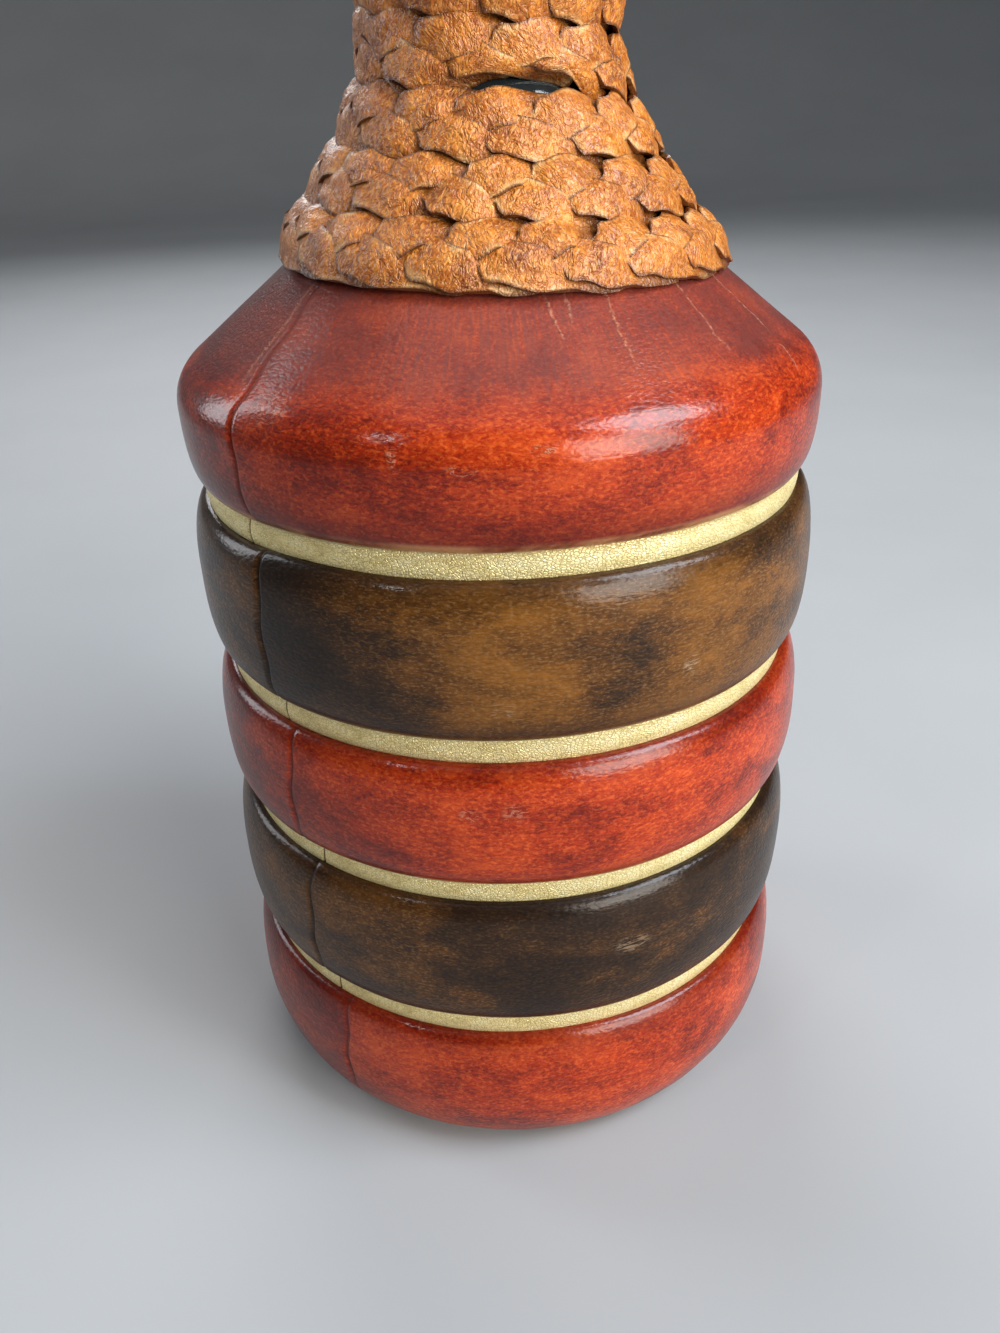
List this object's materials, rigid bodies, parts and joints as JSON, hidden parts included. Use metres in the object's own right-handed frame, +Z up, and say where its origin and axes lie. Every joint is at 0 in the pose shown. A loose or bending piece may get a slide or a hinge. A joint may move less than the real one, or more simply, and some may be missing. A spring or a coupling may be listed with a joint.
{
  "type": "leather-wrapped decanter",
  "caption": "Glass decanter dressed in firm rounded leather bands with gilt strips between them, a plaited leather neck winding and a lift-out cork stopper with a leather knob.",
  "frame": {"origin": "centre of the flat underside, on the surface that the decanter stands on", "axes": "+Z up along the axis of the bottle, front towards -Y"},
  "size_m": [0.1144, 0.1144, 0.2739],
  "materials": {
    "smoked_glass": "dark smoked glass",
    "felt": "dark brown felt",
    "card": "pressed card",
    "red_leather": "mottled burgundy leather, polished",
    "brown_leather": "mottled dark brown leather, polished",
    "tan_leather": "tan leather strips, waxed",
    "gilt": "gilt foil on a thin leather strip",
    "cork": "natural cork",
    "wood": "turned wood, waxed"
  },
  "bodies": {
    "decanter": {"glass_bottle": "smoked_glass", "base_pad": "felt", "base_former": "card", "lower_former": "card", "middle_former": "card", "upper_former": "card", "shoulder_former": "card", "base_red_leather": "red_leather", "lower_brown_leather": "brown_leather", "middle_red_leather": "red_leather", "upper_brown_leather": "brown_leather", "shoulder_red_leather": "red_leather", "gilt_strip_1": "gilt", "gilt_strip_2": "gilt", "gilt_strip_3": "gilt", "gilt_strip_4": "gilt", "neck_plait": "tan_leather"},
    "stopper": {"stopper_cork": "cork", "stopper_core": "wood", "stopper_leather": "red_leather", "stopper_strip": "gilt"}
  },
  "joints": [
    {"name": "stopper_lift", "type": "slide", "parent": "decanter", "child": "stopper", "axis": [0, 0, 1], "range_m": [0, 0.06]}
  ]
}
